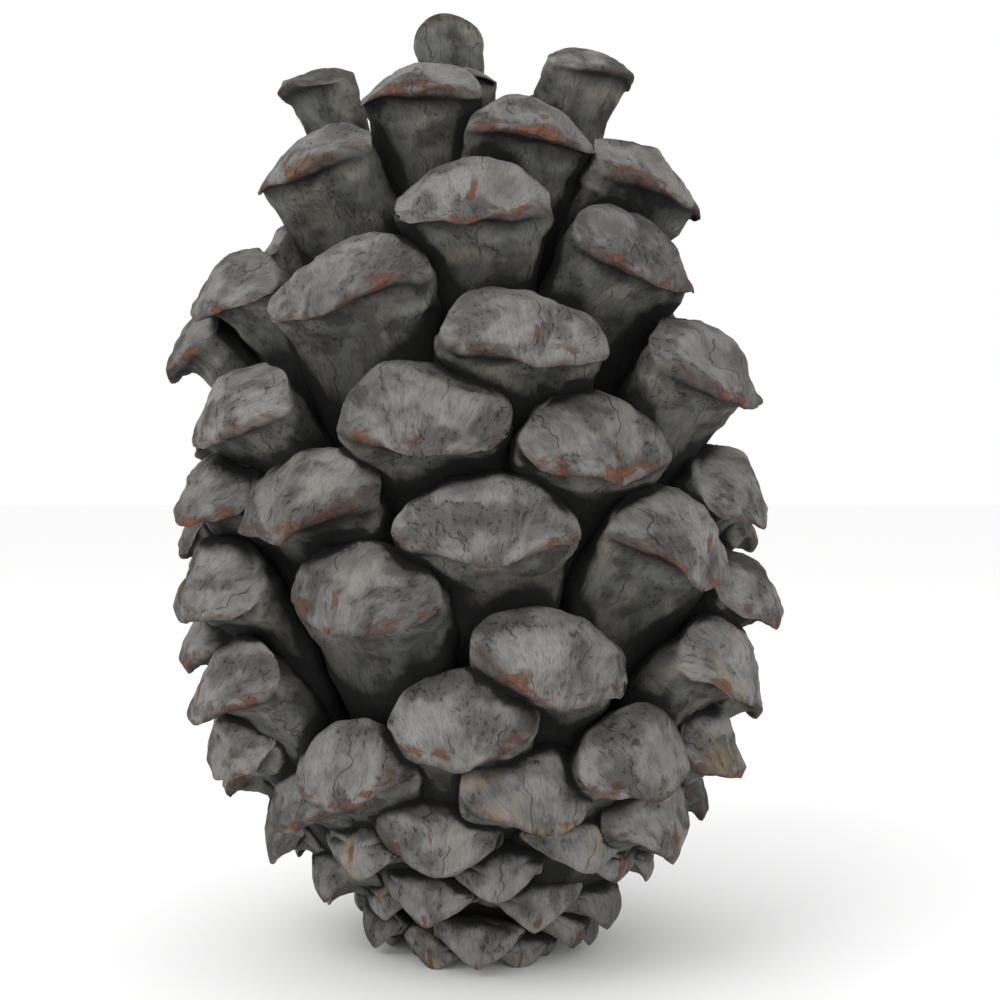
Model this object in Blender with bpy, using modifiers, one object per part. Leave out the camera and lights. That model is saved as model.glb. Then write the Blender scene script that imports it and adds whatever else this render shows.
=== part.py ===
"""An open, weathered pine cone that stands on its base.

The cone is one grown piece: a woody axis with a stub of stalk, and scales set round it on a spiral.
Each scale is a blade that rises steeply from the axis, bends outwards and ends in a thick domed face
with a ridge across it. Metres, +Z up, the resting plane at Z = 0 and the photograph's view along +Y.
"""

import math
import random

import bmesh
import bpy
from mathutils import Vector

MM = 0.001

# The whole cone
SCALE_COUNT = 132
TURN_DEG = 99.55                # from one scale to the next one up, clockwise seen from above
FACING_RANK = 84                # this scale faces the -Y side
FACING_AZIMUTH_DEG = 3.7        # its azimuth, from -Y towards +X
SEED = 11

# Along the spiral: the scale's rank from the base, then its size and place there
RANKS = (0, 9, 19, 30, 48, 66, 85, 105, 124, 133)
TIP_RADIUS = (5.2, 9.0, 11.6, 14.8, 19.2, 24.0, 24.8, 23.9, 15.8, 5.0)
TIP_HEIGHT = (0.9, 1.3, 3.6, 7.1, 12.8, 22.2, 36.8, 52.6, 69.0, 73.0)
RISE_DEG = (-14, -10, -4, 4, 18, 30, 38, 43, 57, 76)
BEND_DEG = (-12, -18, -28, -38, -48, -52, -50, -44, -28, -12)
HALF_WIDTH = (2.5, 3.2, 3.8, 4.3, 5.1, 5.8, 6.4, 6.2, 4.8, 3.8)
FACE_HEIGHT = (2.8, 3.4, 4.0, 4.7, 5.8, 6.6, 7.0, 6.8, 5.6, 3.8)
ROOT_RADIUS = 1.6               # where a blade starts, inside the axis

# The cone is a little lopsided: its scales sit higher towards +X, and its top leans towards -X
RISE_TO_SIDE = 0.045            # height gained per distance towards +X
LEAN_LEVEL = 38.0
LEAN = -0.03                    # sideways shift per height above that level

# How far single scales depart from the rule
TURN_SPREAD_DEG = 1.5
RISE_SPREAD_DEG = 3.0
ROLL_SPREAD_DEG = 5.0
PLACE_SPREAD = 0.4
SIZE_SPREAD = 0.05

# Scales that stand apart from the rule, by rank
TURNED_DEG = {
    8: 9, 15: 11, 33: 4, 51: -3, 58: -5, 59: -2, 66: 1, 70: -14, 73: -5, 76: -6, 77: -3, 81: -4, 84: -2,
    88: -1, 91: -3, 92: 6, 95: 2, 98: 3, 99: -4, 109: 3, 113: 5, 116: -8, 124: 5, 127: 7, 128: -9, 129: -18,
}
LIFTED = {
    19: -1, 23: 1.5, 33: 1, 41: 1, 51: -1.5, 52: 1, 62: -1.5, 73: -1, 77: 1.3, 80: 1.3, 81: -1,
    92: -2.5, 94: -2, 99: -1.8, 103: 1.3, 105: -2, 106: 1.2, 110: -1, 112: -1, 117: 1.2, 123: -2,
    127: 1.8, 128: 2, 129: 9,
}
ROLLED_DEG = {51: 8, 59: 8, 62: 10, 80: -14, 106: 12, 109: -14, 116: -12, 117: 10, 120: -8}
OUT = {
    70: 1.2, 81: 0.8, 94: -6, 98: 1.2, 101: -4, 105: -6, 112: -6, 114: -4, 121: -3, 123: -3.5,
    127: 2, 128: 2.5,
}

# One scale: its blade's stations are shares of its length, its tip's are half widths back from the end
BLADE_STATIONS = (0.0, 0.5)
NECK_BACK = 0.85
BLADE_WIDTH = (0.28, 0.66, 0.95)
BLADE_TOP = (0.16, 0.17, 0.36)
BLADE_UNDER = (-0.20, -0.29, -0.26)
EDGE_TOP = (0.0, -0.03, 0.05)
EDGE_UNDER = (0.0, -0.03, -0.14)
FACE_BACK = (0.20, 0.0, -0.04)
FACE_LEVEL = (0.60, 0.14, -0.46)
CORNER_BACK = (0.42, 0.36, 0.40)
CORNER_LEVEL = (0.04, -0.09, -0.22)
CORNER_OUT = (0.93, 1.0, 0.95)
FACE_SPREAD = (2.2, 2.2, 2.0)
TOP_SPREAD = 3.0
UNDER_SPREAD = 1.8
COLUMNS = (-1.0, -0.44, 0.44, 1.0)

# A small scale, at the base or the very tip, has fewer faces
SMALL_BELOW = 34
SMALL_ABOVE = 129
SMALL_STATIONS = (0, 2)
SMALL_FACE = (0, 2)

# Towards the base the faces turn into half moons with a straight upper edge
ARCHED_FROM = 55
MOON_TOP = 0.24
MOON_CORNER = 0.16

# The axis: height and radius, from the broken stalk up
AXIS_PROFILE = (
    (0.0, 2.9), (1.5, 3.6), (4.0, 7.4), (8.0, 10.8), (14.0, 12.0), (22.0, 9.0), (34.0, 6.0), (50.0, 4.8),
    (61.0, 2.8), (67.0, 1.2),
)
AXIS_SIDES = 12
FLAT_WITHIN_DEG = 2.0           # faces this close to one plane become one where scales are fused
STALK_DROP = 1.0                # below the resting plane, where a slab trims it and the lowest scales
CUTTER_SIDE = 90.0
CUTTER_DEPTH = 20.0
WELD = 1e-7                     # metres: points that meet in one place


COLOUR = (0.20, 0.19, 0.17, 1.0)
ROUGHNESS = 0.9
SHARP_DEG = 40.0


def between(x, xs, ys):
    """A smooth curve through the points, without overshoot."""
    if x <= xs[0]:
        return ys[0]
    if x >= xs[-1]:
        return ys[-1]
    i = max(j for j in range(len(xs) - 1) if xs[j] <= x)

    def slope(j):
        if j == 0 or j == len(xs) - 1:
            k = min(j, len(xs) - 2)
            return (ys[k + 1] - ys[k]) / (xs[k + 1] - xs[k])
        left = (ys[j] - ys[j - 1]) / (xs[j] - xs[j - 1])
        right = (ys[j + 1] - ys[j]) / (xs[j + 1] - xs[j])
        return 0.0 if left * right <= 0 else 2 * left * right / (left + right)

    span = xs[i + 1] - xs[i]
    t = (x - xs[i]) / span
    return (
        ys[i] * (1 + 2 * t) * (1 - t) ** 2
        + ys[i + 1] * t * t * (3 - 2 * t)
        + slope(i) * span * t * (1 - t) ** 2
        - slope(i + 1) * span * t * t * (1 - t)
    )


def scale_places():
    """Every scale's azimuth, rise, bend, roll, root height and sizes, in mm and degrees."""
    draw = random.Random(SEED)
    places = []
    for rank in range(SCALE_COUNT):
        turn, rise_off, roll, out, lift, wide, tall = (draw.uniform(-1, 1) for _ in range(7))
        radius = between(rank, RANKS, TIP_RADIUS)
        spread = PLACE_SPREAD * radius / max(TIP_RADIUS)
        radius += OUT.get(rank, spread * out)
        azimuth = FACING_AZIMUTH_DEG - TURN_DEG * (rank - FACING_RANK)
        azimuth += TURNED_DEG.get(rank, TURN_SPREAD_DEG * turn)
        rise = between(rank, RANKS, RISE_DEG) + RISE_SPREAD_DEG * rise_off
        bend = between(rank, RANKS, BEND_DEG)
        height = between(rank, RANKS, TIP_HEIGHT) + LIFTED.get(rank, spread * lift)
        shift = LEAN * (height - LEAN_LEVEL)
        height += RISE_TO_SIDE * radius * math.sin(math.radians(azimuth))
        chord = (radius - ROOT_RADIUS) / math.cos(math.radians(rise))
        half_bend = math.radians(bend) / 2
        places.append({
            "azimuth": azimuth,
            "rise": rise,
            "bend": bend,
            "roll": ROLLED_DEG.get(rank, ROLL_SPREAD_DEG * roll),
            "length": chord * half_bend / math.sin(half_bend),
            "root": height - (radius - ROOT_RADIUS) * math.tan(math.radians(rise)),
            "shift": shift,
            "half_width": between(rank, RANKS, HALF_WIDTH) * (1 + SIZE_SPREAD * wide),
            "face_height": between(rank, RANKS, FACE_HEIGHT) * (1 + SIZE_SPREAD * tall),
            "arch": min(1.0, rank / ARCHED_FROM),
            "small": rank < SMALL_BELOW or rank > SMALL_ABOVE,
        })
    return places


def place_point(x, y, z, place):
    """A point of a straight, level scale, bent and set on the axis. In and out in mm."""
    bend = math.radians(place["bend"]) / place["length"]
    roll = math.radians(place["roll"]) * y / place["length"]
    x, z = x * math.cos(roll) - z * math.sin(roll), x * math.sin(roll) + z * math.cos(roll)
    angle = bend * y
    out = math.sin(angle) / bend - z * math.sin(angle)
    up = (1 - math.cos(angle)) / bend + z * math.cos(angle)
    tilt = math.radians(place["rise"] - place["bend"] / 2)
    out, up = out * math.cos(tilt) - up * math.sin(tilt), out * math.sin(tilt) + up * math.cos(tilt)
    turn = math.radians(place["azimuth"])
    out += ROOT_RADIUS
    return Vector((
        out * math.sin(turn) + x * math.cos(turn) + place["shift"],
        -out * math.cos(turn) + x * math.sin(turn),
        up + place["root"],
    ))


def scale_rows(place):
    """The rows of one scale, from the root along the top, over the face and back along the underside.

    Each row is its middle point, its side point and how fast it falls from one to the other, in mm.
    """
    length, width, height = place["length"], place["half_width"], place["face_height"]
    stations = [share * length for share in BLADE_STATIONS] + [length - NECK_BACK * width]
    numbers = SMALL_STATIONS if place["small"] else range(len(stations))
    moon = 1 - place["arch"]
    levels = (FACE_LEVEL[0] + moon * (MOON_TOP - FACE_LEVEL[0]), *FACE_LEVEL[1:])
    corners = (CORNER_LEVEL[0] + moon * (MOON_CORNER - CORNER_LEVEL[0]), *CORNER_LEVEL[1:])

    def blade_row(i, level, edge, spread):
        return stations[i], level * height, BLADE_WIDTH[i] * width, stations[i], edge * height, spread

    top = [blade_row(i, BLADE_TOP[i], EDGE_TOP[i], TOP_SPREAD) for i in numbers]
    under = [blade_row(i, BLADE_UNDER[i], EDGE_UNDER[i], UNDER_SPREAD) for i in reversed(numbers)]
    face = [
        (length - FACE_BACK[i] * width, levels[i] * height, CORNER_OUT[i] * width,
         length - CORNER_BACK[i] * width, corners[i] * height, FACE_SPREAD[i])
        for i in (SMALL_FACE if place["small"] else range(len(FACE_BACK)))
    ]
    return top, face, under


def make_scale(name, place, collection):
    """One closed scale as an object."""
    bm = bmesh.new()
    top, face, under = scale_rows(place)
    rows = []
    for y, z, half, side_y, side_z, spread in top + face + under:
        row = []
        for column in COLUMNS:
            fall = abs(column) ** spread
            point = place_point(column * half, y + (side_y - y) * fall, z + (side_z - z) * fall, place)
            row.append(bm.verts.new(point * MM))
        rows.append(row)
    for lower, upper in zip(rows, rows[1:]):
        for j in range(len(COLUMNS) - 1):
            bm.faces.new((lower[j], lower[j + 1], upper[j + 1], upper[j]))
    bm.faces.new(rows[0][::-1] + rows[-1])
    for side in (0, -1):
        for i in range(len(top) - 1):
            bm.faces.new((rows[i][side], rows[i + 1][side], rows[-2 - i][side], rows[-1 - i][side]))
        bm.faces.new([row[side] for row in rows[len(top) - 1:len(rows) - len(under) + 1]])
    bmesh.ops.remove_doubles(bm, verts=bm.verts, dist=WELD)
    bmesh.ops.recalc_face_normals(bm, faces=bm.faces)
    bmesh.ops.triangulate(bm, faces=bm.faces)
    mesh = bpy.data.meshes.new(name)
    bm.to_mesh(mesh)
    bm.free()
    scale = bpy.data.objects.new(name, mesh)
    collection.objects.link(scale)
    return scale


def make_axis(collection):
    """The woody core with the stalk stub, a turned profile."""
    bm = bmesh.new()
    profile = [(0.0, AXIS_PROFILE[-1][0])] + [(r, z) for z, r in reversed(AXIS_PROFILE)]
    profile += [(AXIS_PROFILE[0][1], -STALK_DROP), (0.0, -STALK_DROP)]
    verts = [bm.verts.new((r * MM, 0, z * MM)) for r, z in profile]
    for a, b in zip(verts, verts[1:]):
        bm.edges.new((a, b))
    mesh = bpy.data.meshes.new("pine_cone")
    bm.to_mesh(mesh)
    bm.free()
    axis = bpy.data.objects.new("pine_cone", mesh)
    collection.objects.link(axis)
    screw = axis.modifiers.new("turn", "SCREW")
    screw.steps = screw.render_steps = AXIS_SIDES
    screw.use_merge_vertices = True
    screw.merge_threshold = WELD
    screw.use_normal_calculate = True
    return axis


def make_ground_cutter(collection):
    """A slab whose top is the resting plane: it trims the lowest scales and the stalk flat."""
    side = CUTTER_SIDE * MM
    depth = CUTTER_DEPTH * MM
    bpy.ops.mesh.primitive_cube_add(size=1, location=(0, 0, -depth / 2))
    cutter = bpy.context.active_object
    cutter.name = "ground_cutter"
    cutter.scale = (side, side, depth)
    bpy.ops.object.transform_apply(location=False, rotation=False, scale=True)
    cutter.hide_render = True
    cutter.display_type = "WIRE"
    for other in cutter.users_collection:
        other.objects.unlink(cutter)
    collection.objects.link(cutter)
    return cutter


def apply_all(obj):
    """Bakes an object's modifiers into its mesh."""
    depsgraph = bpy.context.evaluated_depsgraph_get()
    mesh = bpy.data.meshes.new_from_object(obj.evaluated_get(depsgraph))
    obj.modifiers.clear()
    obj.data = mesh


def keep_outer_shell(mesh):
    """Fills the hollows that scales close in between them: only the outermost surface stays."""
    bm = bmesh.new()
    bm.from_mesh(mesh)
    left = set(bm.verts)
    shells = []
    while left:
        shell = {left.pop()}
        front = list(shell)
        while front:
            vert = front.pop()
            for edge in vert.link_edges:
                other = edge.other_vert(vert)
                if other in left:
                    left.remove(other)
                    shell.add(other)
                    front.append(other)
        shells.append(shell)
    outer = max(shells, key=len)
    inner = [vert for vert in bm.verts if vert not in outer]
    bmesh.ops.delete(bm, geom=inner, context="VERTS")
    bm.to_mesh(mesh)
    bm.free()


def centre_on_axis(mesh):
    """Moves the body sideways until its bounding box is centred on the origin."""
    for axis in (0, 1):
        low = min(vert.co[axis] for vert in mesh.vertices)
        high = max(vert.co[axis] for vert in mesh.vertices)
        for vert in mesh.vertices:
            vert.co[axis] -= (low + high) / 2


def make_material():
    material = bpy.data.materials.new("weathered_scale_wood")
    material.use_nodes = True
    shader = material.node_tree.nodes["Principled BSDF"]
    shader.inputs["Base Color"].default_value = COLOUR
    shader.inputs["Roughness"].default_value = ROUGHNESS
    shader.inputs["Metallic"].default_value = 0.0
    return material


def main():
    for obj in list(bpy.data.objects):
        bpy.data.objects.remove(obj)
    cone = bpy.data.collections.new("pine_cone")
    repeats = bpy.data.collections.new("scales")
    cutters = bpy.data.collections.new("cutters")
    for collection in (cone, repeats, cutters):
        bpy.context.scene.collection.children.link(collection)

    axis = make_axis(cone)
    apply_all(axis)
    for rank, place in enumerate(scale_places()):
        make_scale(f"scale_{rank:03d}", place, repeats)

    union = axis.modifiers.new("scales", "BOOLEAN")
    union.operation = "UNION"
    union.operand_type = "COLLECTION"
    union.collection = repeats
    union.solver = "MANIFOLD"
    trim = axis.modifiers.new("resting_plane", "BOOLEAN")
    trim.operation = "DIFFERENCE"
    trim.object = make_ground_cutter(cutters)
    trim.solver = "MANIFOLD"
    tidy = axis.modifiers.new("flat_faces", "DECIMATE")
    tidy.decimate_type = "DISSOLVE"
    tidy.angle_limit = math.radians(FLAT_WITHIN_DEG)
    apply_all(axis)
    keep_outer_shell(axis.data)
    centre_on_axis(axis.data)
    for scale in list(repeats.objects):
        bpy.data.objects.remove(scale)

    axis.data.materials.clear()
    axis.data.materials.append(make_material())
    axis.data.shade_smooth()
    axis.data.set_sharp_from_angle(angle=math.radians(SHARP_DEG))


main()
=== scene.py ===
import math
import random

import bmesh
import bpy
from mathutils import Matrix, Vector


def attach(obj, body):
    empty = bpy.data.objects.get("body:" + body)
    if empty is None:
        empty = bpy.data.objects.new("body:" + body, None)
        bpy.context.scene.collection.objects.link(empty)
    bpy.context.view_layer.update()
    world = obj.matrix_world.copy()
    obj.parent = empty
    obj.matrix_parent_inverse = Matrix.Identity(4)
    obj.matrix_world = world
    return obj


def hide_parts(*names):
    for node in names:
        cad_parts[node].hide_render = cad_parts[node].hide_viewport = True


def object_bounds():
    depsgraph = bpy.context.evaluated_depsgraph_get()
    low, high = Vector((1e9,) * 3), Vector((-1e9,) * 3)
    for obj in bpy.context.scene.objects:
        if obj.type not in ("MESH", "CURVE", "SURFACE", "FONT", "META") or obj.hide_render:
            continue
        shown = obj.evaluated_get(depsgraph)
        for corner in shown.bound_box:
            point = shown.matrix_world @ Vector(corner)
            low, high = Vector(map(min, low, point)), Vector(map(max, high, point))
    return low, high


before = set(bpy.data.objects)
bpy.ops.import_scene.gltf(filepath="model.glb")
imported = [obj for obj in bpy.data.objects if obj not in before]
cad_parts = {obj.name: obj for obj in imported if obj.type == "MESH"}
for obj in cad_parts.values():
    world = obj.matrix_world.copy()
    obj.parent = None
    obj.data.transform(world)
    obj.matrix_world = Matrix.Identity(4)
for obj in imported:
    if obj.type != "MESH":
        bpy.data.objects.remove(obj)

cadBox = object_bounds()
mm = 0.001

# the cone grows by the same rule as its solid
coneGrowth = {
    "scaleCount": 132,
    "turnDeg": 99.55,           # from one scale to the next one up
    "facingRank": 84,           # this scale faces the -Y side
    "facingAzimuthDeg": 3.7,
    "seed": 11,
    "rootRadius": 1.6,          # mm, inside the core
    "riseToSide": 0.045,        # scales sit higher towards +X
    "leanLevel": 38.0,
    "lean": -0.03,              # the top leans towards -X
    "turnSpreadDeg": 1.5,
    "riseSpreadDeg": 3.0,
    "rollSpreadDeg": 5.0,
    "placeSpread": 0.4,
    "sizeSpread": 0.05,
    "fanBelow": 36,             # these scales have fan-shaped faces
    "keeledAbove": 60,          # these have domed faces with a keel
    "bareFrom": 110,            # from here up the inner sides are open to the weather
    "bareAbove": 128,
    "patternStep": 17.0,        # mm of noise across between one scale and the next
    "patternRise": 0.37,        # share of that upwards
}

ranks = (0, 9, 19, 30, 48, 66, 85, 105, 124, 133)
alongSpiral = {                 # one value for each of the ranks above, mm and degrees
    "tipRadius": (5.2, 9.0, 11.6, 14.8, 19.2, 24.0, 24.8, 23.9, 15.8, 5.0),
    "tipHeight": (0.9, 1.3, 3.6, 7.1, 12.8, 22.2, 36.8, 52.6, 69.0, 73.0),
    "rootRise": (-10, -4, 0, 5, 12, 18, 22, 26, 50, 75),        # the blade's slope where it leaves the core
    "steepRise": (-7, 0, 14, 30, 50, 64, 70, 72, 76, 84),       # at its steepest
    "tipRise": (-20, -19, -18, -15, -8, 0, 7, 13, 36, 66),      # at its end
    "knuckle": (2.5, 3.5, 5.0, 6.5, 8.5, 10.0, 11.0, 11.0, 9.5, 7.0),   # length that bends outwards
    "halfWidth": (2.5, 3.2, 3.8, 4.3, 5.1, 5.8, 6.4, 6.2, 4.8, 3.8),
    "faceHeight": (2.8, 3.4, 4.0, 4.7, 5.8, 6.6, 7.0, 6.8, 5.6, 3.8),
}

# scales that stand apart from the rule, by rank
apart = {
    "turnedDeg": {
        8: 9, 15: 11, 33: 4, 51: -3, 58: -5, 59: -2, 66: 1, 70: -14, 73: -5, 76: -6, 77: -3, 81: -4, 84: -2,
        88: -1, 91: -3, 92: 6, 95: 2, 98: 3, 99: -4, 109: 3, 113: 5, 116: -8, 124: 5, 127: 7, 128: -9, 129: -18,
    },
    "lifted": {                 # mm
        19: -1, 23: 1.5, 33: 1, 41: 1, 51: -1.5, 52: 1, 62: -1.5, 73: -1, 77: 1.3, 80: 1.3, 81: -1,
        92: -2.5, 94: -2, 99: -1.8, 103: 1.3, 105: -2, 106: 1.2, 110: -1, 112: -1, 117: 1.2, 123: -2,
        124: 1.2, 127: 1.8, 128: 2, 129: 9,
    },
    "rolledDeg": {51: 8, 59: 8, 62: 10, 80: -14, 106: 12, 109: -14, 116: -12, 117: 10, 120: -8},
    "further": {                # mm out from the axis
        70: 1.2, 81: 0.8, 94: -6, 98: 1.2, 101: -4, 105: -6, 112: -6, 114: -4, 121: -3, 123: -3.5,
        127: 2, 128: 2.5,
    },
    "narrowed": {129: 0.72, 131: 0.6},
}


def smoothStep(low, high, x):
    t = min(1.0, max(0.0, (x - low) / (high - low)))
    return t * t * (3 - 2 * t)


def smoothBetween(x, xs, ys):
    # a smooth curve through the points, without overshoot
    if x <= xs[0]:
        return ys[0]
    if x >= xs[-1]:
        return ys[-1]
    i = max(j for j in range(len(xs) - 1) if xs[j] <= x)

    def slope(j):
        if j == 0 or j == len(xs) - 1:
            k = min(j, len(xs) - 2)
            return (ys[k + 1] - ys[k]) / (xs[k + 1] - xs[k])
        left = (ys[j] - ys[j - 1]) / (xs[j] - xs[j - 1])
        right = (ys[j + 1] - ys[j]) / (xs[j + 1] - xs[j])
        return 0.0 if left * right <= 0 else 2 * left * right / (left + right)

    span = xs[i + 1] - xs[i]
    t = (x - xs[i]) / span
    return (
        ys[i] * (1 + 2 * t) * (1 - t) ** 2
        + ys[i + 1] * t * t * (3 - 2 * t)
        + slope(i) * span * t * (1 - t) ** 2
        - slope(i + 1) * span * t * t * (1 - t)
    )


def arcSpan(first, last):
    # how far out and up an arc of length 1 goes between two slopes
    turn = last - first
    return (math.sin(last) - math.sin(first)) / turn, (math.cos(first) - math.cos(last)) / turn


def growPlaces():
    # each scale's place and sizes, in metres and radians
    draw = random.Random(coneGrowth["seed"])
    own = random.Random(coneGrowth["seed"] + 1)
    widest = max(alongSpiral["tipRadius"])
    places = []
    for rank in range(coneGrowth["scaleCount"]):
        at = {name: smoothBetween(rank, ranks, values) for name, values in alongSpiral.items()}
        turn, riseOff, roll, out, lift, wide, tall = (draw.uniform(-1, 1) for _ in range(7))
        radius = at["tipRadius"]
        spread = coneGrowth["placeSpread"] * radius / widest
        radius += apart["further"].get(rank, spread * out)
        azimuth = coneGrowth["facingAzimuthDeg"] - coneGrowth["turnDeg"] * (rank - coneGrowth["facingRank"])
        azimuth = math.radians(azimuth + apart["turnedDeg"].get(rank, coneGrowth["turnSpreadDeg"] * turn))
        tipRise = math.radians(at["tipRise"] + coneGrowth["riseSpreadDeg"] * riseOff)
        steepRise, rootRise = math.radians(at["steepRise"]), math.radians(at["rootRise"])
        height = at["tipHeight"] + apart["lifted"].get(rank, spread * lift)
        shift = coneGrowth["lean"] * (height - coneGrowth["leanLevel"])
        height += coneGrowth["riseToSide"] * radius * math.sin(azimuth)
        outerReach, outerClimb = arcSpan(steepRise, tipRise)
        innerReach, innerClimb = arcSpan(rootRise, steepRise)
        inner = (radius - coneGrowth["rootRadius"] - at["knuckle"] * outerReach) / innerReach
        halfWidth = at["halfWidth"] * (1 + coneGrowth["sizeSpread"] * wide) * apart["narrowed"].get(rank, 1)
        rolled = apart["rolledDeg"].get(rank, coneGrowth["rollSpreadDeg"] * roll)
        places.append({
            "azimuth": azimuth,
            "rootRise": rootRise,
            "steepRise": steepRise,
            "tipRise": tipRise,
            "inner": inner * mm,
            "knuckle": at["knuckle"] * mm,
            "roll": math.radians(rolled),
            "root": (height - inner * innerClimb - at["knuckle"] * outerClimb) * mm,
            "shift": shift * mm,
            "halfWidth": halfWidth * mm,
            "faceHeight": at["faceHeight"] * (1 + coneGrowth["sizeSpread"] * tall) * mm,
            "fan": 1 - smoothStep(coneGrowth["fanBelow"], coneGrowth["keeledAbove"], rank),
            "bare": smoothStep(coneGrowth["bareFrom"], coneGrowth["bareAbove"], rank),
            "skew": own.uniform(-1, 1),
            "tone": own.uniform(0, 1),
            "patternShift": coneGrowth["patternStep"] * rank,
        })
    return places


# one scale is sections from the rim of its face back to its root, closed by the domed face
scaleForm = {
    "around": 60,
    # stations: 0 is the face's rim, 1 the neck behind it, 1.5 the middle of the blade, 2 its root
    "stations": (0.0, 0.06, 0.16, 0.4, 1.0, 1.5, 2.0),
    "top": (0.575, 0.60, 0.59, 0.53, 0.44, 0.27, 0.16),         # shares of the face's height
    "under": (-0.475, -0.465, -0.405, -0.355, -0.365, -0.31, -0.20),
    "side": (0.03, 0.03, 0.03, 0.02, 0.0, -0.01, 0.0),          # level of the side edges
    "width": (0.94, 0.98, 1.0, 1.0, 0.94, 0.74, 0.28),          # shares of the half width
    "rings": (
        0.0, 0.03, 0.07, 0.12, 0.18, 0.25, 0.33, 0.42, 0.52, 0.62, 0.72, 0.82, 0.92,
        1.0, 1.05, 1.1, 1.15, 1.2, 1.27, 1.35, 1.45, 1.6, 1.8, 2.0,
    ),
    "faceRings": (0.985, 0.95, 0.9, 0.84, 0.77, 0.70, 0.62, 0.54, 0.46, 0.37, 0.28, 0.19, 0.1),
    "neckBack": 0.85,           # half widths behind the lip, as are the next ones
    "topBack": 0.38,
    "lipBack": 0.05,
    "cornerBack": 0.50,
    "cornerPower": 2.2,         # higher keeps more of the rim as far forward as its middle
    "rimPower": 1.07,           # of the rim's outline: higher is nearer to a rhombus
    "bladePower": 0.75,         # the blade's is fuller
    "bladeBoxed": 0.2,
    "bladeFrom": (0.1, 1.0),    # stations from the rim's outline to the blade's
    "middleLevel": -0.02,
    "middleBack": 0.24,
    "dome": 0.22,
    "domePowers": (2.3, 0.9),
    "lipSag": 0.045,            # the lower edge hangs lower in its middle
    "lipSagWidth": 0.25,
    "lipSagEnds": (0.0, 0.3),
    "keel": 0.06,               # how far the lower edge of a keeled face stands out
    "keelEnds": (0.0, 0.12),    # stations behind the rim
    "keelOnFace": (0.7, 0.95),
    "umbo": 0.08,               # the point in the middle of the keel
    "umboLevel": -0.34,
    "umboSize": (0.17, 0.08),
    "fanTop": 0.42,             # levels of a fan-shaped face
    "fanSide": 0.20,
    "fanPower": 1.4,
    "fanThinned": 0.4,          # share of the blade's thickness that is missing behind a fan
    "fanThinnedFrom": (0.2, 1.0),
}

# where the material's masks start and end, by station on the blade and by share of the way out on the face
maskEnds = {
    "face": (0.02, 0.16),
    "lip": (0.0, 0.45),
    "seam": (0.22, 0.80),
    # the inner side darkens from just behind the rim, partly as painted contact shadow
    "inner": (0.02, 0.5),
    "innerSide": (-0.1, 0.3),   # sine of the angle round the blade
    "faceLip": (0.4, 0.97),
    "faceSeam": (0.84, 1.0),
}
maskPowers = {"edge": 0.5, "seam": 0.6, "faceSeam": 0.4}    # lower reaches further round the scale


def rimBack(angle):
    # how far back the face's rim lies at this angle round it
    middle = scaleForm["topBack"] if math.sin(angle) > 0 else scaleForm["lipBack"]
    return middle + (scaleForm["cornerBack"] - middle) * abs(math.cos(angle)) ** scaleForm["cornerPower"]


def sectionPoint(station, angle):
    # across, share of length, level, half widths back and change for a fan, of one point of a section
    def at(name):
        return smoothBetween(station, scaleForm["stations"], scaleForm[name])

    up, flat = math.sin(angle), abs(math.cos(angle))
    fullness = smoothStep(*scaleForm["bladeFrom"], station)
    reach = at("top") if up > 0 else at("under")
    power = scaleForm["rimPower"] + (scaleForm["bladePower"] - scaleForm["rimPower"]) * fullness
    level = at("side") + (reach - at("side")) * abs(up) ** power
    if up < 0:
        sag = math.exp(-(flat / scaleForm["lipSagWidth"]) ** 2)
        level -= scaleForm["lipSag"] * sag * (1 - smoothStep(*scaleForm["lipSagEnds"], station))
    if up > 0:
        fanLevel = scaleForm["fanSide"] + (scaleForm["fanTop"] - scaleForm["fanSide"]) * up
    else:
        fanLevel = scaleForm["fanSide"] + (reach - scaleForm["fanSide"]) * (1 - flat ** scaleForm["fanPower"])
    fan = (fanLevel - level) * max(0.0, 1 - station)
    fan -= level * scaleForm["fanThinned"] * smoothStep(*scaleForm["fanThinnedFrom"], station)
    if station <= 1:
        back = rimBack(angle) * (1 - station) + scaleForm["neckBack"] * station
        share = 1.0
    else:
        share = 2 - station
        back = scaleForm["neckBack"] * max(0.0, 1 - (station - 1) * 2)
    keel = scaleForm["keel"] * max(0.0, -up) * (1 - smoothStep(*scaleForm["keelEnds"], station))
    across = math.copysign(flat ** (1 - scaleForm["bladeBoxed"] * fullness), math.cos(angle)) * at("width")
    return across, share, level, back, fan, keel


def facePoint(inward, angle):
    # the same for a point of the domed face: inward is 1 at the rim, 0 in the middle
    across, share, level, back, fan, _ = sectionPoint(0.0, angle)
    across *= inward
    level = scaleForm["middleLevel"] + (level - scaleForm["middleLevel"]) * inward
    back = scaleForm["middleBack"] + (back - scaleForm["middleBack"]) * inward
    inner, outer = scaleForm["domePowers"]
    back -= scaleForm["dome"] * (1 - inward ** inner) ** outer
    umboWidth, umboHeight = scaleForm["umboSize"]
    umboLevel = (level - scaleForm["umboLevel"]) / umboHeight
    keel = scaleForm["keel"] * max(0.0, -math.sin(angle)) * smoothStep(*scaleForm["keelOnFace"], inward)
    keel += scaleForm["umbo"] * math.exp(-((across / umboWidth) ** 2 + umboLevel ** 2))
    return across, share, level, back, fan * inward, keel


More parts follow.
